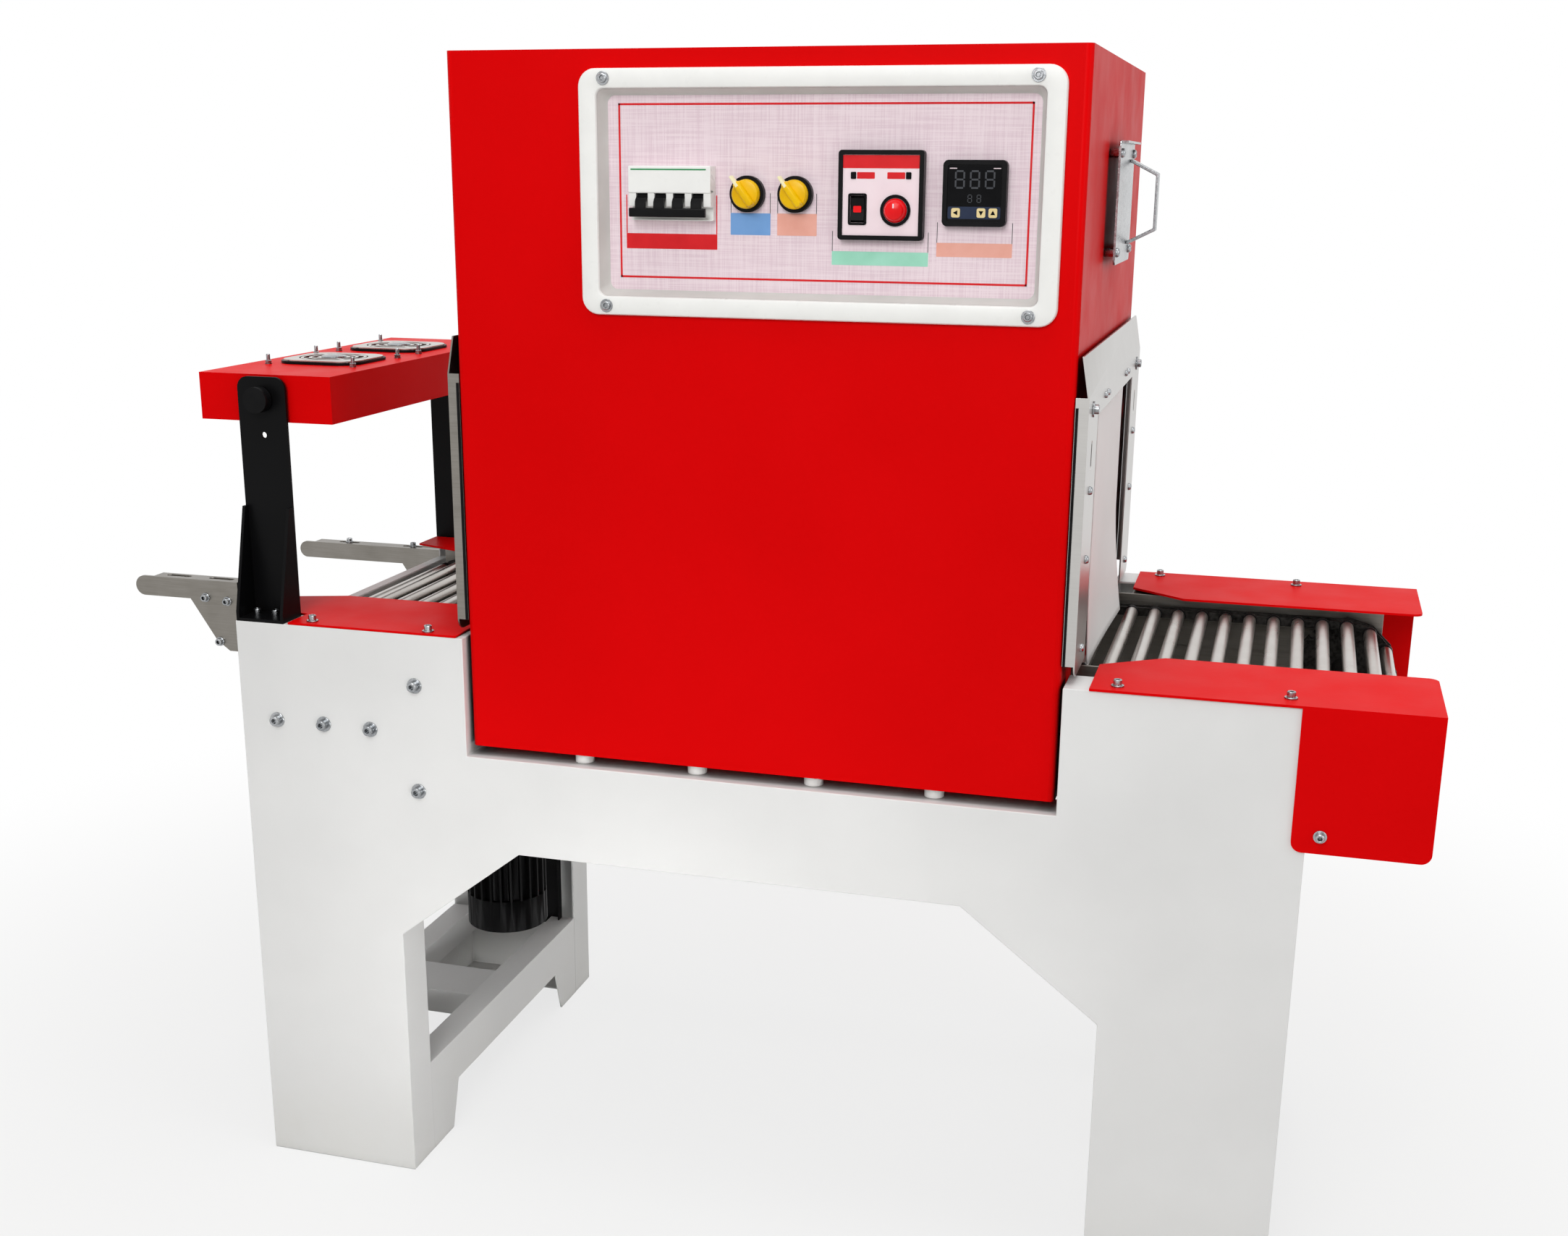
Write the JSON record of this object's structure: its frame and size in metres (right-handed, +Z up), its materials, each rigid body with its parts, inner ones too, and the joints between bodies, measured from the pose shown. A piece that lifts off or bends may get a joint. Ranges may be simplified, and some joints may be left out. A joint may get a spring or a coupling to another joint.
{
  "type": "heat shrink tunnel",
  "caption": "Floor-standing heat shrink tunnel with a bridge frame, insulated hood, control panel, chain-driven roller conveyor, curtains and a tilting fan bar at the infeed",
  "frame": {"origin": "on the floor under the middle of the machine's footprint", "axes": "+X along the conveyor from entry to exit, +Y from the control panel to the back, +Z up"},
  "size_m": [1.743, 0.656, 1.464],
  "materials": {
    "white_powder_coat": "satin powder coat",
    "red_powder_coat": "gloss powder coat",
    "black_powder_coat": "satin powder coat",
    "brushed_stainless": "brushed",
    "zinc_plated_steel": "bright plated",
    "roller_steel": "ground",
    "chain_steel": "oiled black",
    "white_silicone": "matt",
    "motor_paint": "satin",
    "panel_laminate": "fine weave",
    "white_plastic": "smooth",
    "black_plastic": "fine grain",
    "yellow_plastic": "smooth",
    "red_plastic": "smooth"
  },
  "bodies": {
    "machine": {"front_side_panel": "white_powder_coat", "rear_side_panel": "white_powder_coat", "left_leg_ties": "white_powder_coat", "right_leg_ties": "white_powder_coat", "tie_struts": "white_powder_coat", "end_rails": "white_powder_coat", "tunnel_hood": "red_powder_coat", "tunnel_spacers": "white_plastic", "exit_frame": "brushed_stainless", "entry_frame": "brushed_stainless", "exit_curtain": "white_silicone", "entry_curtain": "white_silicone", "side_plate": "zinc_plated_steel", "side_plate_handle": "zinc_plated_steel", "conveyor_rails": "brushed_stainless", "conveyor_chains": "chain_steel", "conveyor_rollers": "roller_steel", "entry_drive_shaft": "chain_steel", "exit_idler_shaft": "chain_steel", "shaft_bearings": "motor_paint", "motor_plate": "brushed_stainless", "gear_motor": "motor_paint", "left_guards": "red_powder_coat", "right_guards": "red_powder_coat", "fan_posts": "black_powder_coat", "front_arm": "brushed_stainless", "rear_arm": "brushed_stainless", "control_bezel": "white_plastic", "control_panel": "panel_laminate", "breaker_body": "white_plastic", "switch_bases": "black_plastic", "speed_controller": "black_plastic", "temperature_controller": "black_plastic"},
    "fan_bar_body": {"fan_bar": "red_powder_coat", "fan_motors": "black_plastic", "fan_guards": "zinc_plated_steel"},
    "front_rotor_body": {"front_fan_rotor": "black_plastic"},
    "rear_rotor_body": {"rear_fan_rotor": "black_plastic"},
    "front_knob_body": {"front_clamp_knob": "black_plastic"},
    "rear_knob_body": {"rear_clamp_knob": "black_plastic"},
    "breaker_toggle_body": {"breaker_toggle": "black_plastic"},
    "fan_switch_body": {"fan_switch_knob": "yellow_plastic"},
    "heater_switch_body": {"heater_switch_knob": "yellow_plastic"},
    "speed_knob_body": {"speed_knob": "red_plastic"},
    "power_rocker_body": {"power_rocker": "black_plastic"}
  },
  "joints": [
    {"name": "fan_bar_tilt", "type": "hinge", "parent": "machine", "child": "fan_bar_body", "pos_m": [-0.5795, 0, 1.05], "axis": [0, 1, 0], "range_deg": [-40, 40]},
    {"name": "front_fan_spin", "type": "hinge", "parent": "fan_bar_body", "child": "front_rotor_body", "pos_m": [-0.5795, -0.095, 1.05], "axis": [0, 0, 1], "continuous": true},
    {"name": "rear_fan_spin", "type": "hinge", "parent": "fan_bar_body", "child": "rear_rotor_body", "pos_m": [-0.5795, 0.095, 1.05], "axis": [0, 0, 1], "continuous": true},
    {"name": "front_knob_turn", "type": "hinge", "parent": "machine", "child": "front_knob_body", "pos_m": [-0.5795, -0.29, 1.05], "axis": [0, 1, 0], "continuous": true},
    {"name": "rear_knob_turn", "type": "hinge", "parent": "machine", "child": "rear_knob_body", "pos_m": [-0.5795, 0.266, 1.05], "axis": [0, 1, 0], "continuous": true},
    {"name": "breaker_throw", "type": "hinge", "parent": "machine", "child": "breaker_toggle_body", "pos_m": [-0.0155, -0.314, 1.308], "axis": [1, 0, 0], "range_deg": [-25, 25]},
    {"name": "fan_switch_turn", "type": "hinge", "parent": "machine", "child": "fan_switch_body", "pos_m": [0.0725, -0.315, 1.308], "axis": [0, 1, 0], "range_deg": [0, 60]},
    {"name": "heater_switch_turn", "type": "hinge", "parent": "machine", "child": "heater_switch_body", "pos_m": [0.1285, -0.315, 1.308], "axis": [0, 1, 0], "range_deg": [0, 60]},
    {"name": "speed_knob_turn", "type": "hinge", "parent": "machine", "child": "speed_knob_body", "pos_m": [0.2445, -0.315, 1.292], "axis": [0, 1, 0], "range_deg": [-140, 140]},
    {"name": "power_rocker_throw", "type": "hinge", "parent": "machine", "child": "power_rocker_body", "pos_m": [0.2015, -0.308, 1.293], "axis": [1, 0, 0], "range_deg": [-9, 9]}
  ]
}
